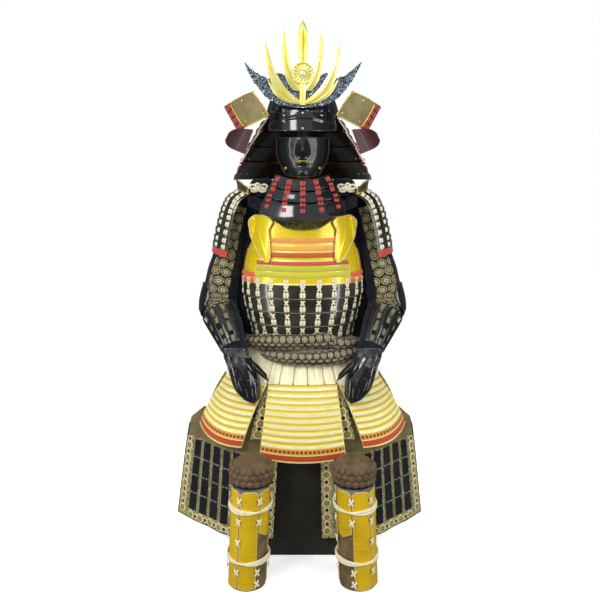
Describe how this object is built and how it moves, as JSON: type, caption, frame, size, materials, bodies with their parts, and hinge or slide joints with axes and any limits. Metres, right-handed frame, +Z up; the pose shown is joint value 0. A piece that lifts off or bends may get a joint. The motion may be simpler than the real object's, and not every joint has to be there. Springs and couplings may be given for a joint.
{
  "type": "samurai armour on an armour chest and stand",
  "caption": "Full samurai armour with helmet, half mask, laced body armour, sleeves, tassets, thigh and shin guards, seated on its armour chest and stand.",
  "frame": {"origin": "on the floor, on the chest's underside: half way across the armour's width, and half way from the shin guards' front to the back of the neck guard", "axes": "+Z up, the armour faces -Y, +X to the right of a viewer in front"},
  "size_m": [0.832, 0.583, 1.65],
  "materials": {
    "black_lacquer": "gloss lacquer",
    "red_lacquer": "satin lacquer",
    "yellow_lacquer": "satin gold lacquer",
    "gold_lacquer": "gloss gold lacquer",
    "printed_leather": "smooth",
    "patinated_steel": "cast relief",
    "gilt_brass": "polished gilt",
    "brocade": "woven figure",
    "strap_leather": "lacquered",
    "silk_lacing": "braided silk",
    "sash_silk": "woven medallions",
    "hemp_cloth": "plain weave",
    "brown_leather": "embossed",
    "chest_lacquer": "matt lacquer",
    "stand_wood": "dark stain"
  },
  "bodies": {
    "root": {"kabuto_bowl": "black_lacquer", "kabuto_brim": "black_lacquer", "mask_face": "black_lacquer", "throat_lame_1": "black_lacquer", "throat_lame_2": "black_lacquer", "throat_lame_3": "black_lacquer", "waist_lame_1": "black_lacquer", "waist_lame_2": "black_lacquer", "waist_lame_3": "black_lacquer", "waist_lame_4": "black_lacquer", "shoulder_guard_left": "black_lacquer", "shoulder_guard_right": "black_lacquer", "elbow_plate_left": "black_lacquer", "elbow_plate_right": "black_lacquer", "forearm_splints_left": "black_lacquer", "forearm_splints_right": "black_lacquer", "hand_plate_left": "black_lacquer", "hand_plate_right": "black_lacquer", "thumb_plate_left": "black_lacquer", "thumb_plate_right": "black_lacquer", "neck_lame_1": "red_lacquer", "neck_lame_2": "red_lacquer", "neck_lame_3": "red_lacquer", "neck_lame_4": "red_lacquer", "lower_wing_left": "red_lacquer", "lower_wing_right": "red_lacquer", "dou_front": "yellow_lacquer", "dou_back": "yellow_lacquer", "side_plate_left": "yellow_lacquer", "side_plate_right": "yellow_lacquer", "leaf_plate_left": "yellow_lacquer", "leaf_plate_right": "yellow_lacquer", "shin_guard_left": "gold_lacquer", "shin_guard_right": "gold_lacquer", "turned_wing_left": "printed_leather", "turned_wing_right": "printed_leather", "crest_base": "patinated_steel", "crest": "gilt_brass", "neck_cloth": "brocade", "sleeve_upper_left": "brocade", "sleeve_upper_right": "brocade", "sleeve_lower_left": "brocade", "sleeve_lower_right": "brocade", "shoulder_strap_left": "strap_leather", "shoulder_strap_right": "strap_leather", "lacing_skirt": "silk_lacing", "tasset_front": "silk_lacing", "tasset_back": "silk_lacing", "tasset_side_left": "silk_lacing", "tasset_side_right": "silk_lacing", "tasset_rear_left": "silk_lacing", "tasset_rear_right": "silk_lacing", "sash_upper": "sash_silk", "sash_lower": "sash_silk", "thigh_guard_left": "hemp_cloth", "thigh_guard_right": "hemp_cloth", "knee_cap_left": "brown_leather", "knee_cap_right": "brown_leather", "armour_chest": "chest_lacquer", "stand": "stand_wood"}
  },
  "joints": []
}
